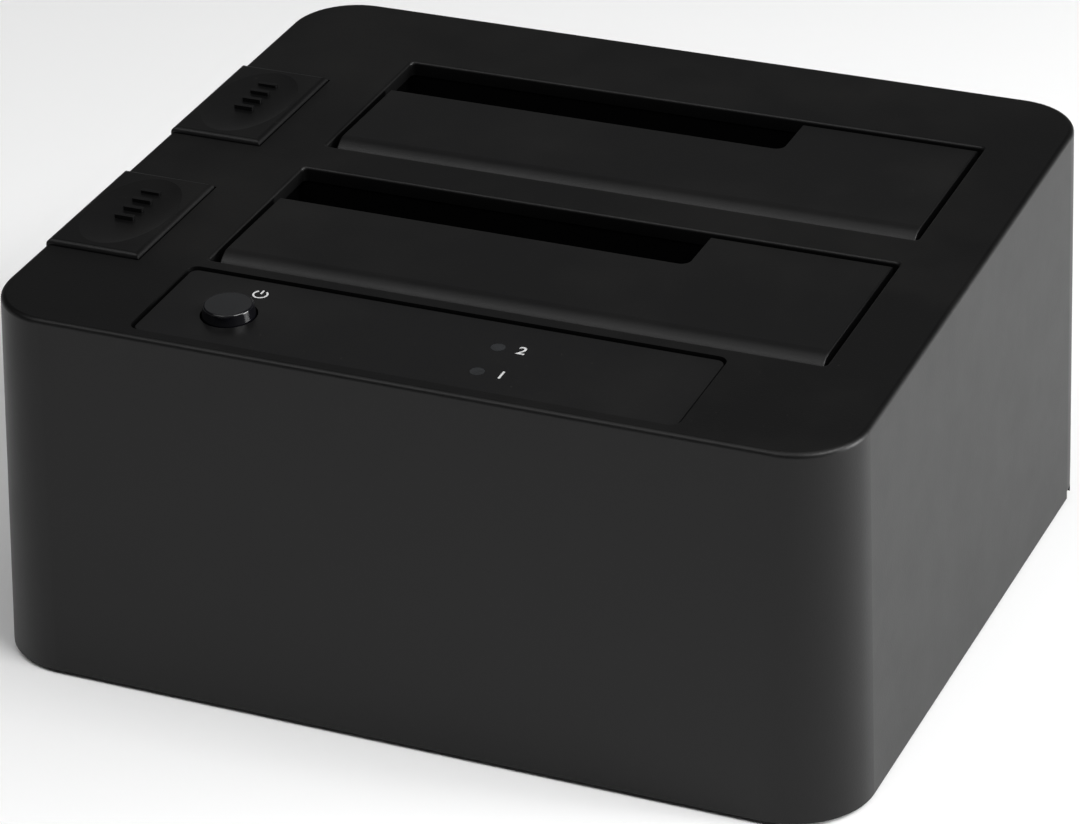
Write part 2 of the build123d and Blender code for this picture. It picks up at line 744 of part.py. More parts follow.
def screw(plane, shank_radius, grip, head_radius, head_height):
    """A pan-head screw whose head stands on a plane's far side and whose shank runs along its Z."""
    head = Pos(0, 0, -head_height / 2) * Cylinder(head_radius, head_height)
    head = fillet(head.edges().filter_by(GeomType.CIRCLE).group_by(Axis.Z)[0], head_height / 3)
    shank = Pos(0, 0, grip / 2) * Cylinder(shank_radius, grip)
    recess = Pos(0, 0, -head_height) * Box(head_radius, head_radius / 4, head_height)
    recess += Pos(0, 0, -head_height) * Box(head_radius / 4, head_radius, head_height)
    return plane * (head + shank - recess)


def make_case_screws():
    """Screws from below through the bottom cover into the casing's posts."""
    seat = cover_bottom + screw_head_height / 2
    grip = cover_top - seat + screw_grip - edge_break
    return [screw(Plane((x, y, seat)), screw_radius, grip, screw_head_radius, screw_head_height / 2 + cover_recess / 2)
            for x, y in corners(post_spacing_x, post_spacing_y)]


def make_bay_screws():
    """Screws from below through the bays' ears into the casing's bosses."""
    screws = []
    for bay in bays:
        for x, y in bay_ear_places(bay):
            seat = top_height(y, top_thickness + bay_boss_height) - bay_ear_thickness
            grip = bay_ear_thickness + small_screw_grip - edge_break
            screws.append(screw(Plane((x, y, seat)), small_screw_radius, grip, small_head_radius, small_head_height))
    return screws


def make_board_screws():
    """Screws that hold the main board on its standoffs."""
    grip = board_thickness + small_screw_grip - edge_break
    return [screw(Plane((x, y, board_top), z_dir=(0, 0, -1)), small_screw_radius, grip, small_head_radius,
                  small_head_height) for x, y in board_hole_places()]


def panel_board_plane(x=0, y=lamp_mean_y):
    """The face of the panel board that looks up to the panel."""
    return top_plane(y, x, panel_board_drop)


def make_panel_board():
    """Small board below the control panel."""
    long = panel_board_right - panel_board_left
    middle = (panel_board_right + panel_board_left) / 2
    board = Pos(0, 0, -panel_board_thickness / 2) * Box(long, panel_board_width, panel_board_thickness)
    board = panel_board_plane(middle) * round_upright_edges(board, panel_corner_radius)
    for x, y in panel_boss_places():
        board -= panel_board_plane(x, y) * Cylinder(small_screw_radius + seam_gap, 2 * overrun)
    return board


def make_panel_board_screws():
    """Screws that hold the panel board up on its bosses."""
    screws = []
    for x, y in panel_boss_places():
        seat = panel_board_plane(x, y).offset(-panel_board_thickness)
        grip = panel_board_thickness + small_screw_grip - edge_break
        screws.append(screw(seat, small_screw_radius, grip, small_head_radius, small_head_height))
    return screws


def make_power_switch():
    """Push switch on the panel board, under the power button."""
    plane = top_plane(power_y, power_x, panel_board_drop)
    return plane * Pos(0, 0, switch_height / 2) * Box(switch_side, switch_side, switch_height)


def make_power_button():
    """Round button: a glossy cone above the panel, with its collar, flange and stem."""
    foot = -panel_drop
    cone = Pos(0, 0, foot + power_rise / 2) * Cone(power_base_radius, power_top_radius, power_rise)
    cone = fillet(cone.edges().filter_by(GeomType.CIRCLE).group_by(Axis.Z)[-1], edge_break)
    seat = foot + power_rise - power_cap_thickness
    cone -= Pos(0, 0, seat + overrun / 2) * Cylinder(power_top_radius - edge_break, overrun)
    button = top_plane(power_y, power_x) * cone
    flange_top = -top_thickness - slide_gap
    button += power_bar(power_base_radius, flange_top - power_flange_thickness / 2, foot)
    button += power_bar(power_flange_radius, flange_top - power_flange_thickness, flange_top)
    stem_low = -panel_board_drop * math.cos(math.radians(top_slope)) + switch_height + power_travel + slide_gap / 2
    button += power_bar(power_stem_radius, stem_low, flange_top - power_flange_thickness / 2)
    return button


def make_power_cap():
    """Satin disc let into the power button's top."""
    high = power_rise - panel_drop
    cap = power_bar(power_top_radius - edge_break - screw_gap, high - power_cap_thickness, high)
    return cap


def make_lens(place):
    """Light pipe that carries one activity lamp's light to the panel's face."""
    x, y = place
    plane = top_plane(y, x)
    deep = panel_board_drop * math.cos(math.radians(top_slope)) - lamp_height - slide_gap
    high = -panel_drop
    pipe = plane * Pos(0, 0, (high - deep) / 2) * Cylinder(lens_radius, high + deep)
    flange_top = -top_thickness
    flange = plane * Pos(0, 0, flange_top - lens_flange_thickness / 2) * Cylinder(lens_flange_radius,
                                                                                 lens_flange_thickness)
    return pipe + flange


def make_activity_lamps():
    """Two small lamps on the panel board, one under each light pipe."""
    return [top_plane(y, x, panel_board_drop) * Pos(0, 0, lamp_height / 2) * Box(lamp_length, lamp_width, lamp_height)
            for x, y in lamp_places()]


def make_main_board():
    """Main circuit board on the bottom cover's standoffs."""
    board = block(board_left, board_right, board_front, board_rear, board_height, board_top)
    board = round_upright_edges(board, panel_corner_radius)
    for x, y in board_hole_places():
        board -= upright(x, y, small_screw_radius + seam_gap, 0, reach)
    return board


def receptacle_block(bay, grow=0):
    """Outer box of one drive receptacle, grown on its sides."""
    y = slot_limits(bay)[1] - receptacle_setback
    return block(receptacle_x - receptacle_length / 2 - grow, receptacle_x + receptacle_length / 2 + grow,
                 y - receptacle_width / 2 - grow, y + receptacle_width / 2 + grow, board_top,
                 bay_floor_top + receptacle_rise)


def make_receptacle(bay):
    """Upright drive receptacle with its signal and power slots."""
    body = receptacle_block(bay)
    top = bay_floor_top + receptacle_rise
    y = slot_limits(bay)[1] - receptacle_setback
    start = receptacle_x - (signal_slot_length + contact_slot_gap + power_slot_length) / 2
    body = chamfer(body.edges().group_by(Axis.Z)[-1], edge_break)
    for x0, long in ((start, signal_slot_length), (start + signal_slot_length + contact_slot_gap, power_slot_length)):
        body -= block(x0, x0 + long, y - contact_slot_width / 2, y + contact_slot_width / 2,
                      top - contact_slot_depth, top + overrun)
    return body


def make_usb_socket():
    """Square data socket at the rear, a metal shell round a tongue."""
    rear = base_depth / 2 - (board_top + usb_height - foot_stand) * draft_tan + socket_proud - wall
    shell = block(usb_x - usb_width / 2, usb_x + usb_width / 2, rear - usb_depth, rear, board_top,
                  board_top + usb_height)
    shell = fillet(shell.edges().filter_by(Axis.Y), usb_shell)
    hollow = block(usb_x - usb_width / 2 + usb_shell, usb_x + usb_width / 2 - usb_shell,
                   rear - usb_depth + 4 * usb_shell, rear + overrun, board_top + usb_shell,
                   board_top + usb_height - usb_shell)
    shell -= hollow
    middle = board_top + usb_height / 2
    tongue = block(usb_x - usb_tongue_width / 2, usb_x + usb_tongue_width / 2, rear - usb_depth + usb_shell,
                   rear - 2 * usb_shell, middle - usb_tongue_thickness / 2, middle + usb_tongue_thickness / 2)
    return shell + tongue


def make_power_socket():
    """Round low-voltage power socket at the rear, with its centre pin."""
    rear = base_depth / 2 - (board_top + jack_height - foot_stand) * draft_tan + socket_proud - wall
    body = block(jack_x - jack_width / 2, jack_x + jack_width / 2, rear - jack_depth, rear, board_top,
                 board_top + jack_height)
    body = fillet(body.edges().filter_by(Axis.Y), edge_break)
    middle = board_top + jack_height / 2
    body -= lengthwise(jack_x, rear - jack_bore_depth, rear + overrun, middle, jack_bore_radius)
    pin = lengthwise(jack_x, rear - jack_bore_depth - edge_break, rear - 2 * edge_break, middle, jack_pin_radius)
    return body + pin


def chip(x, y, side, height):
    """A flat chip on the main board."""
    body = block(x - side / 2, x + side / 2, y - side / 2, y + side / 2, board_top + chip_standoff,
                 board_top + chip_standoff + height)
    legs = block(x - side / 2 - edge_break, x + side / 2 + edge_break, y - side / 2 - edge_break,
                 y + side / 2 + edge_break, board_top, board_top + chip_standoff + edge_break)
    return chamfer(body.edges().group_by(Axis.Z)[-1], edge_break / 2) + legs


def make_bridge_chips():
    """The bridge chip and the hub chip, between the receptacles."""
    y = bays["front"] - slot_opening / 4
    return [chip(receptacle_x, y, bridge_side, chip_height),
            chip(receptacle_x + receptacle_length, y, hub_side, chip_height)]


def make_capacitors():
    """Three upright can capacitors beside the power socket."""
    cans = []
    for i in range(capacitor_count):
        x = board_right - 2 * board_hole_inset
        y = board_rear - jack_depth - (i + 1) * 3 * capacitor_radius
        can = upright(x, y, capacitor_radius, board_top, board_top + capacitor_height)
        cans.append(fillet(can.edges().filter_by(GeomType.CIRCLE).group_by(Axis.Z)[-1], edge_break))
    return cans


def make_inductors():
    """Two power inductors in front of the capacitors."""
    coils = []
    for i in range(inductor_count):
        x = board_right - 3 * board_hole_inset - inductor_side
        y = board_rear - jack_depth - (i + 1) * 2 * inductor_side
        body = block(x - inductor_side / 2, x + inductor_side / 2, y - inductor_side / 2, y + inductor_side / 2,
                     board_top, board_top + inductor_height)
        coils.append(round_upright_edges(body, inductor_side / 7))
    return coils


def make_crystal():
    """Metal-can crystal beside the bridge chip."""
    y = bays["front"] - slot_opening / 4 - bridge_side
    body = block(receptacle_x - crystal_length / 2, receptacle_x + crystal_length / 2, y - crystal_width / 2,
                 y + crystal_width / 2, board_top, board_top + crystal_height)
    return round_upright_edges(body, crystal_width / 2 - edge_break)


def ribbon_ends():
    """Upper and lower ends of the ribbon, inside its headers, in Y and Z."""
    upper = panel_board_plane().offset(-panel_board_thickness - header_height).origin
    lower_y = board_front + header_width
    return (upper.Y, upper.Z), (lower_y, board_top + header_height)


def make_ribbon():
    """Flat ribbon between the panel board's header and the main board's header."""
    (upper_y, upper_z), (lower_y, lower_z) = ribbon_ends()
    hang = 2 * ribbon_bend_radius
    points = [(upper_y, upper_z), (upper_y, upper_z - hang), (lower_y, lower_z + hang), (lower_y, lower_z)]
    path = Plane.YZ.offset(ribbon_x) * FilletPolyline(*points, radius=ribbon_bend_radius)
    section = Plane((ribbon_x, upper_y, upper_z)) * Rectangle(ribbon_width, ribbon_thickness)
    return sweep(section, path=path)


def make_ribbon_headers():
    """Two headers that the ribbon plugs into."""
    upper = panel_board_plane(ribbon_x).offset(-panel_board_thickness)
    upper_body = upper * Pos(0, 0, -header_height / 2) * Box(header_length, header_width, header_height)
    lower_y = ribbon_ends()[1][0]
    lower_body = block(ribbon_x - header_length / 2, ribbon_x + header_length / 2, lower_y - header_width / 2,
                       lower_y + header_width / 2, board_top, board_top + header_height)
    return [upper_body, lower_body]


def write(name, shape):
    """Writes one piece, or a group of separate like pieces, to its own file."""
    solids = shape if isinstance(shape, list) else [shape]
    solids = [solid for item in solids for solid in item.solids()]
    shape = solids[0] if len(solids) == 1 else Compound(children=solids)
    export_step(shape, f"parts/{name}.step")


write("top_casing", make_top_casing())
write("bottom_cover", make_bottom_cover())
write("rubber_feet", make_rubber_feet())
write("control_panel", make_control_panel())
for bay in bays:
    write(f"{bay}_bay", make_bay(bay))
    write(f"{bay}_flap", make_flap(bay))
    write(f"{bay}_flap_pin", make_flap_pin(bay))
    write(f"{bay}_flap_spring", make_flap_spring(bay))
    write(f"{bay}_eject_button", make_eject_button(bay))
    write(f"{bay}_return_spring", make_return_spring(bay))
    write(f"{bay}_eject_lever", make_eject_lever(bay))
    write(f"{bay}_lever_shaft", make_lever_shaft(bay))
    write(f"{bay}_drive_receptacle", make_receptacle(bay))
for bay, place in zip(bays, lamp_places()):
    write(f"{bay}_light_pipe", make_lens(place))
write("power_button", make_power_button())
write("power_button_cap", make_power_cap())
write("power_switch", make_power_switch())
write("activity_lamps", make_activity_lamps())
write("panel_board", make_panel_board())
write("main_board", make_main_board())
write("usb_socket", make_usb_socket())
write("power_socket", make_power_socket())
write("bridge_chips", make_bridge_chips())
write("capacitors", make_capacitors())
write("inductors", make_inductors())
write("crystal", make_crystal())
write("panel_ribbon", make_ribbon())
write("ribbon_headers", make_ribbon_headers())
write("case_screws", make_case_screws())
write("bay_screws", make_bay_screws())
write("board_screws", make_board_screws())
write("panel_board_screws", make_panel_board_screws())
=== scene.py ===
"""Dual-bay hard drive docking station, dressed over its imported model.

Places are in metres in the model's own frame: X runs along the front face, the front faces -Y, and the rubber
feet stand on Z = 0. Sizes written in millimetres are multiplied by MM.
"""
import json
import math

import bmesh
import bpy
from mathutils import Matrix, Vector


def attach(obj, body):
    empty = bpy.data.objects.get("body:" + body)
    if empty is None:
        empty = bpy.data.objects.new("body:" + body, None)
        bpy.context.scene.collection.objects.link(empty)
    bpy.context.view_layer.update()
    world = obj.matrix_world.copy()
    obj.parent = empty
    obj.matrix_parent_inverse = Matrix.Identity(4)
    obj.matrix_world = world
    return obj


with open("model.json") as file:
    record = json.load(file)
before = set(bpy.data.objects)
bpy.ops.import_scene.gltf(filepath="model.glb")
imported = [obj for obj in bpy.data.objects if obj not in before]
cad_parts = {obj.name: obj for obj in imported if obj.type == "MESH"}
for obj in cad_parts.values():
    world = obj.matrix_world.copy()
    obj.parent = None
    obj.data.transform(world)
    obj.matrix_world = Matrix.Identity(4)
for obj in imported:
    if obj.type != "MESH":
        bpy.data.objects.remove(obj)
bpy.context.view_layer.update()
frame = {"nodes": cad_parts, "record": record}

MM = 0.001

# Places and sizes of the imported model, in millimetres
FRONT_HEIGHT = 63.8
RIM_FRONT_Y = -64.0
TOP_SLOPE = math.radians(3.0)
PANEL_DROP = 0.3
LAMP_Y = {"front": -55.55, "rear": -47.45}
RECEPTACLE_X = -13.3
RECEPTACLE_Y = {"front": -5.3, "rear": 38.9}
RECEPTACLE_TOP = 25.0


def top_height(y, drop=0.0):
    """Height of the sloping top above the floor at a place y, less a drop, in millimetres."""
    return FRONT_HEIGHT + (y - RIM_FRONT_Y) * math.tan(TOP_SLOPE) - drop


def on_top(x, y, drop=0.0):
    """Matrix of a place on the sloping top, with its Z square to the slope."""
    place = Vector((x, y, top_height(y, drop))) * MM
    return Matrix.Translation(place) @ Matrix.Rotation(TOP_SLOPE, 4, "X")


# Shader helpers


def plug(tree, value, target):
    """Links an output to a socket, or sets the socket to a plain value."""
    if isinstance(value, bpy.types.NodeSocket):
        tree.links.new(value, target)
    else:
        target.default_value = value


def add(tree, kind, settings=None, **sockets):
    """Adds a shader node. A socket is given by its name with _ for each space, as a value or as an output."""
    made = tree.nodes.new(kind)
    for name, value in (settings or {}).items():
        setattr(made, name, value)
    for name, value in sockets.items():
        plug(tree, value, made.inputs[name.replace("_", " ")])
    return made


def object_place(tree):
    """Place in the piece's own frame, in metres."""
    return add(tree, "ShaderNodeTexCoord").outputs["Object"]


def maths(tree, operation, first, second):
    """One step of arithmetic on two values."""
    made = add(tree, "ShaderNodeMath", {"operation": operation})
    for target, value in zip(made.inputs, (first, second)):
        plug(tree, value, target)
    return made.outputs[0]


def vector_maths(tree, operation, first, second):
    """One step of arithmetic on two vectors."""
    made = add(tree, "ShaderNodeVectorMath", {"operation": operation})
    for target, value in zip(made.inputs, (first, second)):
        plug(tree, value, target)
    return made


def spread(tree, value, low, high, to_low=0.0, to_high=1.0):
    """Stretches a value from one range to another and holds it there."""
    made = tree.nodes.new("ShaderNodeMapRange")
    given = {"Value": value, "From Min": low, "From Max": high, "To Min": to_low, "To Max": to_high}
    for name, number in given.items():
        plug(tree, number, made.inputs[name])
    return made.outputs["Result"]


def blend_colours(tree, share, first, second):
    """Mixes two colours by a share."""
    made = add(tree, "ShaderNodeMix", {"data_type": "RGBA"})
    for name, value in (("Factor_Float", share), ("A_Color", first), ("B_Color", second)):
        target = next(socket for socket in made.inputs if socket.identifier == name)
        plug(tree, (*value, 1.0) if isinstance(value, tuple) else value, target)
    return next(socket for socket in made.outputs if socket.identifier == "Result_Color")


def noise_scale(tree, size):
    """Scale of a noise whose features have a size in millimetres."""
    return maths(tree, "DIVIDE", 1.0 / MM, size)


def effect(name, inputs, outputs):
    """A new shared effect: a node group with named number inputs and named outputs."""
    tree = bpy.data.node_groups.new(name, "ShaderNodeTree")
    for label, value in inputs.items():
        socket = tree.interface.new_socket(label, in_out="INPUT", socket_type="NodeSocketFloat")
        socket.default_value = value
    for label, kind in outputs.items():
        tree.interface.new_socket(label, in_out="OUTPUT", socket_type=kind)
    return tree, tree.nodes.new("NodeGroupInput"), tree.nodes.new("NodeGroupOutput")


def place_effect(tree, group, **values):
    """Places a shared effect in a material with its own values."""
    made = add(tree, "ShaderNodeGroup", {"node_tree": group})
    for name, value in values.items():
        plug(tree, value, made.inputs[name.replace("_", " ")])
    return made


PIMPLE_HEIGHT = 0.5
RUBBED_TURN = (0.995, 0.9)
PATCH_SCALE = 170.0
PATCH_FULL = 0.75
DUSTY_SLOPE = (0.35, 0.95)
SPECK_SPAN = (0.74, 0.82)
FILM_SCALE = 38.0
FILM_SPAN = (0.45, 0.8)
FILM_SHARE = 0.25


def grain_effect():
    """Moulded plastic texture: fine pimples and a slow mottle, sized in millimetres."""
    tree, given, out = effect("moulded_grain", {"Grain": 0.35, "Mottle Size": 9.0},
                              {"Height": "NodeSocketFloat", "Mottle": "NodeSocketFloat"})
    place = object_place(tree)
    fine_scale = noise_scale(tree, given.outputs["Grain"])
    fine = add(tree, "ShaderNodeTexNoise", Vector=place, Scale=fine_scale, Detail=2.0, Roughness=0.55)
    pimples = add(tree, "ShaderNodeTexVoronoi", {"feature": "SMOOTH_F1"}, Vector=place, Scale=fine_scale,
                  Smoothness=0.6)
    domes = maths(tree, "MULTIPLY", pimples.outputs["Distance"], -PIMPLE_HEIGHT)
    height = maths(tree, "ADD", fine.outputs["Fac"], domes)
    slow_scale = noise_scale(tree, given.outputs["Mottle Size"])
    slow = add(tree, "ShaderNodeTexNoise", Vector=place, Scale=slow_scale, Detail=3.0, Roughness=0.6)
    tree.links.new(height, out.inputs["Height"])
    tree.links.new(slow.outputs["Fac"], out.inputs["Mottle"])
    return tree


def wear_effect():
    """Mask of the edges that hands and drives rub, broken up by noise."""
    tree, given, out = effect("rubbed_edges", {"Width": 0.5, "Patchiness": 0.5}, {"Mask": "NodeSocketFloat"})
    width = maths(tree, "MULTIPLY", given.outputs["Width"], MM)
    rounded = add(tree, "ShaderNodeBevel", {"samples": 4}, Radius=width)
    flat = add(tree, "ShaderNodeNewGeometry")
    turn = vector_maths(tree, "DOT_PRODUCT", rounded.outputs["Normal"], flat.outputs["Normal"])
    edge = spread(tree, turn.outputs["Value"], *RUBBED_TURN)
    place = object_place(tree)
    patches = add(tree, "ShaderNodeTexNoise", Vector=place, Scale=PATCH_SCALE, Detail=4.0, Roughness=0.65)
    broken = spread(tree, patches.outputs["Fac"], given.outputs["Patchiness"], PATCH_FULL)
    tree.links.new(maths(tree, "MULTIPLY", edge, broken), out.inputs["Mask"])
    return tree


def dust_effect():
    """Mask of fine settled dust: specks and a faint film on what faces up."""
    tree, given, out = effect("settled_dust", {"Amount": 0.3, "Speck": 0.5}, {"Mask": "NodeSocketFloat"})
    facing = add(tree, "ShaderNodeSeparateXYZ", Vector=add(tree, "ShaderNodeNewGeometry").outputs["Normal"])
    upward = spread(tree, facing.outputs["Z"], *DUSTY_SLOPE)
    place = object_place(tree)
    speck_scale = noise_scale(tree, given.outputs["Speck"])
    specks = add(tree, "ShaderNodeTexNoise", Vector=place, Scale=speck_scale, Detail=1.0, Roughness=0.4)
    spots = spread(tree, specks.outputs["Fac"], *SPECK_SPAN)
    film = add(tree, "ShaderNodeTexNoise", Vector=place, Scale=FILM_SCALE, Detail=4.0, Roughness=0.6)
    haze = spread(tree, film.outputs["Fac"], *FILM_SPAN, 0.0, FILM_SHARE)
    both = maths(tree, "MAXIMUM", spots, haze)
    amount = maths(tree, "MULTIPLY", maths(tree, "MULTIPLY", both, upward), given.outputs["Amount"])
    tree.links.new(amount, out.inputs["Mask"])
    return tree


def brushing_effect():
    """Fine lines drawn along X, Y or Z by stretching the noise, for ground pins, wire and pressed metal."""
    tree, given, out = effect("drawn_lines", {"Along X": 1.0, "Along Y": 1.0, "Along Z": 1.0, "Line": 0.1},
                              {"Height": "NodeSocketFloat"})
    place = object_place(tree)
    stretch = add(tree, "ShaderNodeCombineXYZ", X=given.outputs["Along X"], Y=given.outputs["Along Y"],
                  Z=given.outputs["Along Z"])
    drawn = vector_maths(tree, "MULTIPLY", place, stretch.outputs[0])
    scale = noise_scale(tree, given.outputs["Line"])
    lines = add(tree, "ShaderNodeTexNoise", Vector=drawn.outputs[0], Scale=scale, Detail=3.0, Roughness=0.7)
    tree.links.new(lines.outputs["Fac"], out.inputs["Height"])
    return tree


GRAIN = grain_effect()
WEAR = wear_effect()
DUST = dust_effect()
LINES = brushing_effect()

# What dust and rubbing do to a surface, and depths and lengths in millimetres
DUST_COLOUR = (0.23, 0.22, 0.20)
DUST_DULLS = 0.3
RUBBING_POLISHES = 0.15
TARNISH_DULLS = 0.3
MOTTLE_SPAN = (0.3, 0.7)
METAL_MOTTLE_SIZE = 3.0
SCRATCH_DEPTH = 0.004
RIPPLE_DEPTH = 0.0012
RUBBER_DEPTH = 0.03
TRACK_DEPTH = 0.03
TRACK_WIDTH = 0.22
TRACK_LENGTH = 7.8
TRACK_PITCH = 1.9


def new_material(name):
    """An empty material with its Principled shader."""
    made = bpy.data.materials.new(name)
    made.use_nodes = True
    tree = made.node_tree
    tree.nodes.clear()
    shader = tree.nodes.new("ShaderNodeBsdfPrincipled")
    end = tree.nodes.new("ShaderNodeOutputMaterial")
    tree.links.new(shader.outputs["BSDF"], end.inputs["Surface"])
    return made, tree, shader


def set_sockets(shader, **values):
    """Sets plain values on the shader's own sockets."""
    for name, value in values.items():
        shader.inputs[name.replace("_", " ")].default_value = value


def raise_surface(tree, shader, depth, height):
    """Lifts the surface by a height map. The depth is in millimetres."""
    bump = add(tree, "ShaderNodeBump", Strength=1.0, Distance=depth * MM, Height=height)
    tree.links.new(bump.outputs["Normal"], shader.inputs["Normal"])


def moulded_plastic(name, colour, roughness, grain=0.35, depth=0.010, mottle=0.03, worn=0.35,
                    worn_colour=None, dust=0.07, ior=1.5):
    """Moulded plastic with pimpled texture, mottled gloss, rubbed edges and a trace of dust."""
    made, tree, shader = new_material(name)
    texture = place_effect(tree, GRAIN, Grain=grain)
    edges = place_effect(tree, WEAR, Width=0.45)
    dusty = place_effect(tree, DUST, Amount=dust)
    polished = worn_colour or tuple(min(1.0, c * 2.2 + 0.004) for c in colour)
    darker = tuple(c * (1.0 - 2 * mottle) for c in colour)
    lighter = tuple(c * (1.0 + 2 * mottle) for c in colour)
    tint = spread(tree, texture.outputs["Mottle"], *MOTTLE_SPAN)
    base = blend_colours(tree, tint, darker, lighter)
    rubbed = maths(tree, "MULTIPLY", edges.outputs["Mask"], worn)
    base = blend_colours(tree, rubbed, base, polished)
    base = blend_colours(tree, dusty.outputs["Mask"], base, DUST_COLOUR)
    tree.links.new(base, shader.inputs["Base Color"])
    smoother, rougher = roughness - mottle / 2, roughness + mottle / 2
    gloss = spread(tree, texture.outputs["Mottle"], *MOTTLE_SPAN, smoother, rougher)
    gloss = maths(tree, "SUBTRACT", gloss, maths(tree, "MULTIPLY", rubbed, RUBBING_POLISHES))
    gloss = maths(tree, "ADD", gloss, maths(tree, "MULTIPLY", dusty.outputs["Mask"], DUST_DULLS))
    tree.links.new(gloss, shader.inputs["Roughness"])
    raise_surface(tree, shader, depth, texture.outputs["Height"])
    set_sockets(shader, IOR=ior)
    return made


def polished_plastic(name, colour, roughness, ior=1.5):
    """Glossy plastic with faint ripples and hairline scuffs."""
    made, tree, shader = new_material(name)
    texture = place_effect(tree, GRAIN, Grain=1.6, Mottle_Size=4.0)
    scuffs = place_effect(tree, LINES, Along_X=0.15, Along_Y=1.0, Along_Z=0.6, Line=0.22)
    edges = place_effect(tree, WEAR, Width=0.3)
    lighter = tuple(min(1.0, c * 2.0 + 0.01) for c in colour)
    base = blend_colours(tree, maths(tree, "MULTIPLY", edges.outputs["Mask"], 0.3), colour, lighter)
    tree.links.new(base, shader.inputs["Base Color"])
    scratched = spread(tree, scuffs.outputs["Height"], 0.62, 0.75, 0.0, 0.12)
    gloss = maths(tree, "ADD", scratched, roughness)
    tree.links.new(gloss, shader.inputs["Roughness"])
    raise_surface(tree, shader, RIPPLE_DEPTH, texture.outputs["Height"])
    set_sockets(shader, IOR=ior)
    return made


def drawn_metal(name, colour, roughness, along=(1.0, 1.0, 1.0), line=0.08, tarnish=0.25,
                tarnish_colour=None):
    """Bare metal with drawn or ground lines and patchy tarnish."""
    made, tree, shader = new_material(name)
    lines = place_effect(tree, LINES, Along_X=along[0], Along_Y=along[1], Along_Z=along[2], Line=line)
    texture = place_effect(tree, GRAIN, Grain=0.5, Mottle_Size=METAL_MOTTLE_SIZE)
    edges = place_effect(tree, WEAR, Width=0.2)
    dull = tarnish_colour or tuple(c * 0.55 for c in colour)
    patch = spread(tree, texture.outputs["Mottle"], 0.42, 0.72, 0.0, tarnish)
    base = blend_colours(tree, patch, colour, dull)
    bright = tuple(min(1.0, c * 1.3 + 0.05) for c in colour)
    base = blend_colours(tree, maths(tree, "MULTIPLY", edges.outputs["Mask"], 0.5), base, bright)
    tree.links.new(base, shader.inputs["Base Color"])
    gloss = spread(tree, lines.outputs["Height"], 0.25, 0.75, roughness - 0.08, roughness + 0.12)
    gloss = maths(tree, "ADD", gloss, maths(tree, "MULTIPLY", patch, TARNISH_DULLS))
    tree.links.new(gloss, shader.inputs["Roughness"])
    raise_surface(tree, shader, SCRATCH_DEPTH, lines.outputs["Height"])
    set_sockets(shader, Metallic=1.0)
    return made


def foot_rubber():
    """Matte rubber with a chalky bloom and picked-up dust."""
    made, tree, shader = new_material("foot_rubber")
    texture = place_effect(tree, GRAIN, Grain=0.6, Mottle_Size=5.0)
    edges = place_effect(tree, WEAR, Width=0.5)
    bloom = spread(tree, texture.outputs["Mottle"], 0.4, 0.8, 0.0, 0.5)
    base = blend_colours(tree, bloom, (0.018, 0.018, 0.018), (0.050, 0.048, 0.045))
    rubbed = maths(tree, "MULTIPLY", edges.outputs["Mask"], 0.5)
    base = blend_colours(tree, rubbed, base, (0.09, 0.088, 0.085))
    tree.links.new(base, shader.inputs["Base Color"])
    tree.links.new(spread(tree, texture.outputs["Height"], 0.1, 0.9, 0.78, 0.92), shader.inputs["Roughness"])
    raise_surface(tree, shader, RUBBER_DEPTH, texture.outputs["Height"])
    set_sockets(shader, Specular_IOR_Level=0.35)
    return made


def circuit_board():
    """Green solder mask over glass cloth, with the copper's tracks as faint raised lines."""
    made, tree, shader = new_material("circuit_board")
    place = object_place(tree)
    tracks = add(tree, "ShaderNodeTexBrick", {"offset": 0.5}, Vector=place, Scale=1.0,
                 Mortar_Size=TRACK_WIDTH * MM, Brick_Width=TRACK_LENGTH * MM, Row_Height=TRACK_PITCH * MM)
    texture = place_effect(tree, GRAIN, Grain=0.45, Mottle_Size=12.0)
    copper = spread(tree, tracks.outputs["Fac"], 0.2, 0.8)
    base = blend_colours(tree, copper, (0.010, 0.075, 0.032), (0.030, 0.150, 0.060))
    cloudy = spread(tree, texture.outputs["Mottle"], 0.35, 0.7, 0.0, 0.35)
    base = blend_colours(tree, cloudy, base, (0.008, 0.055, 0.028))
    tree.links.new(base, shader.inputs["Base Color"])
    gloss = spread(tree, texture.outputs["Mottle"], *MOTTLE_SPAN, 0.24, 0.34)
    tree.links.new(gloss, shader.inputs["Roughness"])
    relief = maths(tree, "ADD", copper, maths(tree, "MULTIPLY", texture.outputs["Height"], 0.25))
    raise_surface(tree, shader, TRACK_DEPTH, relief)
    return made


def smoked_lens():
    """Dark clear plastic of the light pipes, slightly hazed."""
    made, tree, shader = new_material("smoked_lens")
    texture = place_effect(tree, GRAIN, Grain=0.5, Mottle_Size=2.0)
    haze = spread(tree, texture.outputs["Mottle"], 0.3, 0.8)
    base = blend_colours(tree, haze, (0.015, 0.016, 0.017), (0.025, 0.026, 0.028))
    tree.links.new(base, shader.inputs["Base Color"])
    gloss = spread(tree, texture.outputs["Mottle"], *MOTTLE_SPAN, 0.22, 0.34)
    tree.links.new(gloss, shader.inputs["Roughness"])
    raise_surface(tree, shader, SCRATCH_DEPTH, texture.outputs["Height"])
    set_sockets(shader, IOR=1.30)
    return made


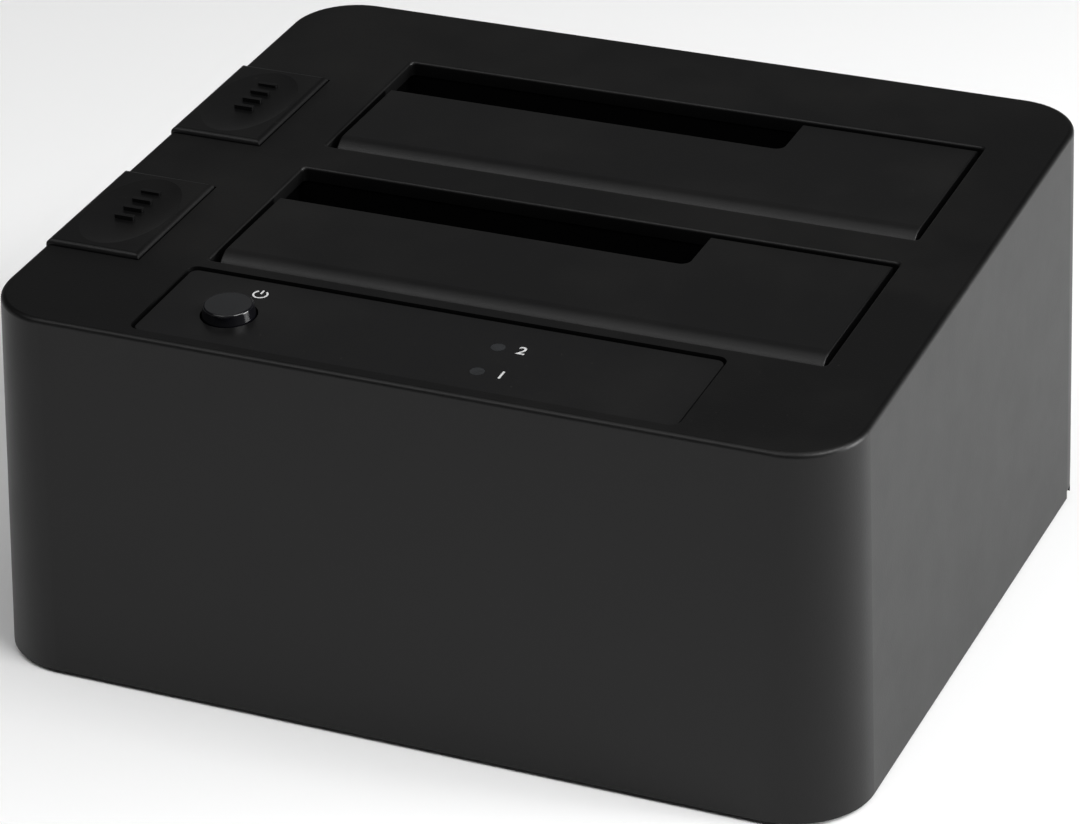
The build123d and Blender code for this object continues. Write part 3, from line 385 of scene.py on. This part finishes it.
def printed_ink():
    """White pad-printed ink, slightly uneven and worn thin in places."""
    made, tree, shader = new_material("white_ink")
    texture = place_effect(tree, GRAIN, Grain=0.18, Mottle_Size=0.7)
    thin = spread(tree, texture.outputs["Mottle"], 0.45, 0.8, 0.0, 0.5)
    base = blend_colours(tree, thin, (0.62, 0.62, 0.62), (0.36, 0.36, 0.37))
    tree.links.new(base, shader.inputs["Base Color"])
    gloss = spread(tree, texture.outputs["Height"], 0.1, 0.9, 0.45, 0.6)
    tree.links.new(gloss, shader.inputs["Roughness"])
    raise_surface(tree, shader, SCRATCH_DEPTH, texture.outputs["Height"])
    return made


BODY_BLACK = (0.0010, 0.0010, 0.00106)

finishes = {
    "casing": moulded_plastic("casing_plastic", BODY_BLACK, 0.42, ior=1.36),
    "flap": moulded_plastic("flap_plastic", (0.0020, 0.0020, 0.0021), 0.42, grain=0.30, ior=1.37),
    "panel": moulded_plastic("panel_plastic", (0.0030, 0.0030, 0.0032), 0.36, grain=0.24, depth=0.006,
                             ior=1.39),
    "button": moulded_plastic("push_button_plastic", (0.0008, 0.0008, 0.0009), 0.42, grain=0.30, ior=1.36),
    "bay": moulded_plastic("bay_plastic", (0.0010, 0.0010, 0.0011), 0.60, grain=0.5, dust=0.01, ior=1.12),
    "power_gloss": polished_plastic("power_button_gloss", (0.0030, 0.0030, 0.0040), 0.05, ior=1.46),
    "power_satin": moulded_plastic("power_button_cap", (0.0150, 0.0155, 0.0165), 0.36, grain=0.2, depth=0.003,
                                   dust=0.03, ior=1.30),
    "lens": smoked_lens(),
    "rubber": foot_rubber(),
    "steel": drawn_metal("ground_steel", (0.56, 0.57, 0.58), 0.28, along=(0.03, 1.0, 1.0)),
    "spring_steel": drawn_metal("spring_wire", (0.44, 0.44, 0.45), 0.32, line=0.15),
    "screw_steel": drawn_metal("blackened_screws", (0.10, 0.10, 0.105), 0.36, line=0.12, tarnish=0.5,
                               tarnish_colour=(0.045, 0.043, 0.042)),
    "lever": moulded_plastic("lever_plastic", (0.58, 0.58, 0.55), 0.42, mottle=0.04, worn=0.2,
                             worn_colour=(0.75, 0.75, 0.72)),
    "board": circuit_board(),
    "black_part": moulded_plastic("part_plastic", (0.014, 0.014, 0.015), 0.52, grain=0.25),
    "socket_metal": drawn_metal("tinned_steel", (0.66, 0.66, 0.67), 0.22, along=(1.0, 0.05, 1.0)),
    "can": drawn_metal("aluminium_can", (0.72, 0.73, 0.75), 0.26, line=0.2),
    "lamp": polished_plastic("lamp_resin", (0.72, 0.73, 0.66), 0.18),
    "ribbon": moulded_plastic("ribbon_grey", (0.30, 0.31, 0.33), 0.45, grain=0.6, worn=0.1),
}
ink = printed_ink()
contact_gold = drawn_metal("contact_gold", (0.80, 0.58, 0.24), 0.24, line=0.1, tarnish=0.15)

for row in frame["record"]["subparts"]:
    part = frame["nodes"][row["node"]]
    for holder in part.material_slots:
        holder.material = finishes[row["material_slot"]]


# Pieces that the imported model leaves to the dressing


def new_piece(name, body, material, shape):
    """Makes an object of a bmesh, gives it a material and lets it ride on a body."""
    data = bpy.data.meshes.new(name)
    shape.to_mesh(data)
    shape.free()
    data.materials.append(material)
    made = bpy.data.objects.new(name, data)
    bpy.context.scene.collection.objects.link(made)
    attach(made, body)
    return made


def add_ring(shape, matrix, inner, outer, thickness, start, stop, steps):
    """A flat ring or arc in a piece's own XY plane, from one angle to another."""
    rows = []
    for i in range(steps + 1):
        angle = start + (stop - start) * i / steps
        way = Vector((math.cos(angle), math.sin(angle), 0.0))
        corners = [way * inner, way * outer, way * outer + Vector((0, 0, thickness)),
                   way * inner + Vector((0, 0, thickness))]
        rows.append([shape.verts.new(matrix @ (corner * MM)) for corner in corners])
    for before, after in zip(rows, rows[1:]):
        for j in range(4):
            shape.faces.new((before[j], before[(j + 1) % 4], after[(j + 1) % 4], after[j]))
    shape.faces.new(rows[0])
    shape.faces.new(list(reversed(rows[-1])))


def add_bar(shape, matrix, size, centre, bevel=0.0):
    """A small bar, optionally with broken edges."""
    made = bmesh.ops.create_cube(shape, size=1.0)["verts"]
    for corner in made:
        corner.co = Vector((corner.co.x * size[0], corner.co.y * size[1], corner.co.z * size[2]))
        corner.co = matrix @ ((corner.co + Vector(centre)) * MM)
    if bevel:
        edges = {edge for corner in made for edge in corner.link_edges}
        bmesh.ops.bevel(shape, geom=list(edges), offset=bevel * MM, segments=2, affect="EDGES", profile=0.5)


INK_THICKNESS = 0.03
SYMBOL_PLACE = (-32.2, -44.1)
SYMBOL_RADIUS = 1.15
STROKE = 0.30
HALF_GAP = math.radians(35.0)
RING_STEPS = 40
BAR_LENGTH_SHARE = 1.05
BAR_PLACE_SHARE = 0.62


def make_power_symbol():
    """The common power sign, a broken ring with a bar, printed behind the button."""
    shape = bmesh.new()
    seat = on_top(*SYMBOL_PLACE, PANEL_DROP)
    quarter = math.pi / 2
    add_ring(shape, seat, SYMBOL_RADIUS - STROKE / 2, SYMBOL_RADIUS + STROKE / 2, INK_THICKNESS,
             quarter + HALF_GAP, quarter - HALF_GAP + 2 * math.pi, RING_STEPS)
    add_bar(shape, seat, (STROKE, SYMBOL_RADIUS * BAR_LENGTH_SHARE, INK_THICKNESS),
            (0, SYMBOL_RADIUS * BAR_PLACE_SHARE, INK_THICKNESS / 2))
    bmesh.ops.recalc_face_normals(shape, faces=shape.faces)
    new_piece("power_symbol", "station", ink, shape)


NUMERAL_HEIGHT = 2.3
NUMERAL_X = 14.6
NUMERAL_FATTENING = 0.02
FONT_HEIGHT_SHARE = 0.7


def make_numeral(bay, digit):
    """A bay's plain number, printed beside its lamp."""
    words = bpy.data.curves.new(f"{bay}_bay_number", "FONT")
    words.body = digit
    words.size = NUMERAL_HEIGHT * MM / FONT_HEIGHT_SHARE
    words.align_x = "CENTER"
    words.align_y = "CENTER"
    words.extrude = INK_THICKNESS * MM / 2
    words.offset = NUMERAL_FATTENING * MM
    written = bpy.data.objects.new(words.name, words)
    bpy.context.scene.collection.objects.link(written)
    bpy.context.view_layer.update()
    flat = bpy.data.meshes.new_from_object(written.evaluated_get(bpy.context.evaluated_depsgraph_get()))
    shape = bmesh.new()
    shape.from_mesh(flat)
    bpy.data.objects.remove(written)
    bpy.data.curves.remove(words)
    bpy.data.meshes.remove(flat)
    seat = on_top(NUMERAL_X, LAMP_Y[bay], PANEL_DROP) @ Matrix.Translation((0, 0, INK_THICKNESS * MM / 2))
    bmesh.ops.transform(shape, matrix=seat, verts=shape.verts)
    new_piece(f"{bay}_bay_number", "station", ink, shape)


make_power_symbol()
make_numeral("front", "1")
make_numeral("rear", "2")

# Contacts of the receptacles: seven signal and fifteen power strips in each. A group is a count and a length.
CONTACT_PITCH = 1.27
CONTACT_GROUPS = ((7, 11.0), (15, 21.6))
CONTACT_GROUP_GAP = 1.4
CONTACT_SLOT_DEPTH = 5.0
CONTACT_SIZE = (0.70, 0.35, 4.6)
CONTACT_SLOT_WIDTH = 2.4
CONTACT_BEVEL = 0.1


def make_receptacle_contacts(bay):
    """Gold strips along the rear wall of a receptacle's two slots."""
    shape = bmesh.new()
    length = sum(long for _, long in CONTACT_GROUPS) + CONTACT_GROUP_GAP
    start = RECEPTACLE_X - length / 2
    y = RECEPTACLE_Y[bay] + CONTACT_SLOT_WIDTH / 2 - CONTACT_SIZE[1] / 2
    z = RECEPTACLE_TOP - CONTACT_SLOT_DEPTH + CONTACT_SIZE[2] / 2
    for count, long in CONTACT_GROUPS:
        first = start + long / 2 - (count - 1) * CONTACT_PITCH / 2
        for i in range(count):
            centre = (first + i * CONTACT_PITCH, y, z)
            add_bar(shape, Matrix.Identity(4), CONTACT_SIZE, centre, CONTACT_BEVEL)
        start += long + CONTACT_GROUP_GAP
    return new_piece(f"{bay}_receptacle_contacts", "station", contact_gold, shape)


for bay in ("front", "rear"):
    make_receptacle_contacts(bay)

# Floor, lights and camera

FLOOR_SIZE = 6.0
FLOOR_GREYS = ((0.92, 0.92, 0.92), (0.94, 0.94, 0.94))
SURROUND_STRENGTH = 0.34
SURROUND_HIGH_SHARE = 0.05
SURROUND_FADE_END = math.radians(22.0)
LIGHTS_AIM = Vector((0.0, 0.0, 0.04))

# Azimuth and elevation in degrees, distance, width and height in metres, and power in watts. Azimuth 0 is in
# front of the station, and 90 is to its right.
SOFTBOXES = {
    "overhead": (20.0, 80.0, 1.6, 1.6, 1.6, 9.4),
    "left_high": (-34.0, 54.0, 1.1, 0.75, 0.34, 2.2),
    "right_high": (74.0, 46.0, 1.1, 0.75, 0.34, 9.5),
    "right_low": (105.0, 12.0, 1.1, 0.45, 0.35, 11.5),
    "rear": (205.0, 40.0, 1.4, 0.7, 0.7, 0.26),
}


def make_floor():
    """Plain pale floor."""
    made, tree, shader = new_material("pale_floor")
    place = object_place(tree)
    slow = add(tree, "ShaderNodeTexNoise", Vector=place, Scale=3.0, Detail=2.0)
    tree.links.new(blend_colours(tree, slow.outputs["Fac"], *FLOOR_GREYS), shader.inputs["Base Color"])
    set_sockets(shader, Roughness=0.9, Specular_IOR_Level=0.1)
    shape = bmesh.new()
    bmesh.ops.create_grid(shape, x_segments=1, y_segments=1, size=FLOOR_SIZE / 2)
    data = bpy.data.meshes.new("floor")
    shape.to_mesh(data)
    shape.free()
    data.materials.append(made)
    floor = bpy.data.objects.new("floor", data)
    bpy.context.scene.collection.objects.link(floor)


def make_softbox(name, azimuth, elevation, distance, width, height, power):
    """A rectangular light that faces the station."""
    data = bpy.data.lights.new(name, "AREA")
    data.shape = "RECTANGLE"
    data.size = width
    data.size_y = height
    data.energy = power
    lamp = bpy.data.objects.new(name, data)
    bpy.context.scene.collection.objects.link(lamp)
    turn, lift = math.radians(azimuth), math.radians(elevation)
    way = Vector((math.sin(turn) * math.cos(lift), -math.cos(turn) * math.cos(lift), math.sin(lift)))
    lamp.location = LIGHTS_AIM + way * distance
    lamp.rotation_euler = way.to_track_quat("Z", "Y").to_euler()


def make_surround():
    """A pale surround at the horizon that fades to a dim one above it."""
    world = bpy.data.worlds.new("studio")
    bpy.context.scene.world = world
    world.use_nodes = True
    tree = world.node_tree
    way = add(tree, "ShaderNodeSeparateXYZ", Vector=add(tree, "ShaderNodeTexCoord").outputs["Generated"])
    pale = spread(tree, way.outputs["Z"], 0.0, math.sin(SURROUND_FADE_END), 1.0, SURROUND_HIGH_SHARE)
    surround = tree.nodes["Background"]
    tree.links.new(pale, surround.inputs["Color"])
    surround.inputs["Strength"].default_value = SURROUND_STRENGTH


CAMERA_EYE = Vector((0.2445, -0.5730, 0.3457))
CAMERA_TURN = (2.0769410, 0.3611567, 0.1790378)
FOCAL_PIXELS = 4125.62
PHOTO_WIDTH = 1080
SENSOR_WIDTH = 36.0
NEAREST_SEEN = 0.01


def make_camera():
    """The photograph's own camera, found from the edges of the body."""
    data = bpy.data.cameras.new("photograph")
    data.sensor_fit = "HORIZONTAL"
    data.sensor_width = SENSOR_WIDTH
    data.lens = FOCAL_PIXELS * SENSOR_WIDTH / PHOTO_WIDTH
    data.clip_start = NEAREST_SEEN
    camera = bpy.data.objects.new("photograph", data)
    bpy.context.scene.collection.objects.link(camera)
    turn_x, turn_y, turn_z = (Matrix.Rotation(angle, 3, axis) for angle, axis in zip(CAMERA_TURN, "XYZ"))
    right, down, forward = turn_z @ turn_y @ turn_x
    axes = Matrix((right, -down, -forward)).transposed()
    camera.matrix_world = Matrix.Translation(CAMERA_EYE) @ axes.to_4x4()
    bpy.context.scene.camera = camera


make_floor()
make_surround()
for name, figures in SOFTBOXES.items():
    make_softbox(name, *figures)
make_camera()
bpy.context.scene.view_settings.view_transform = "Standard"
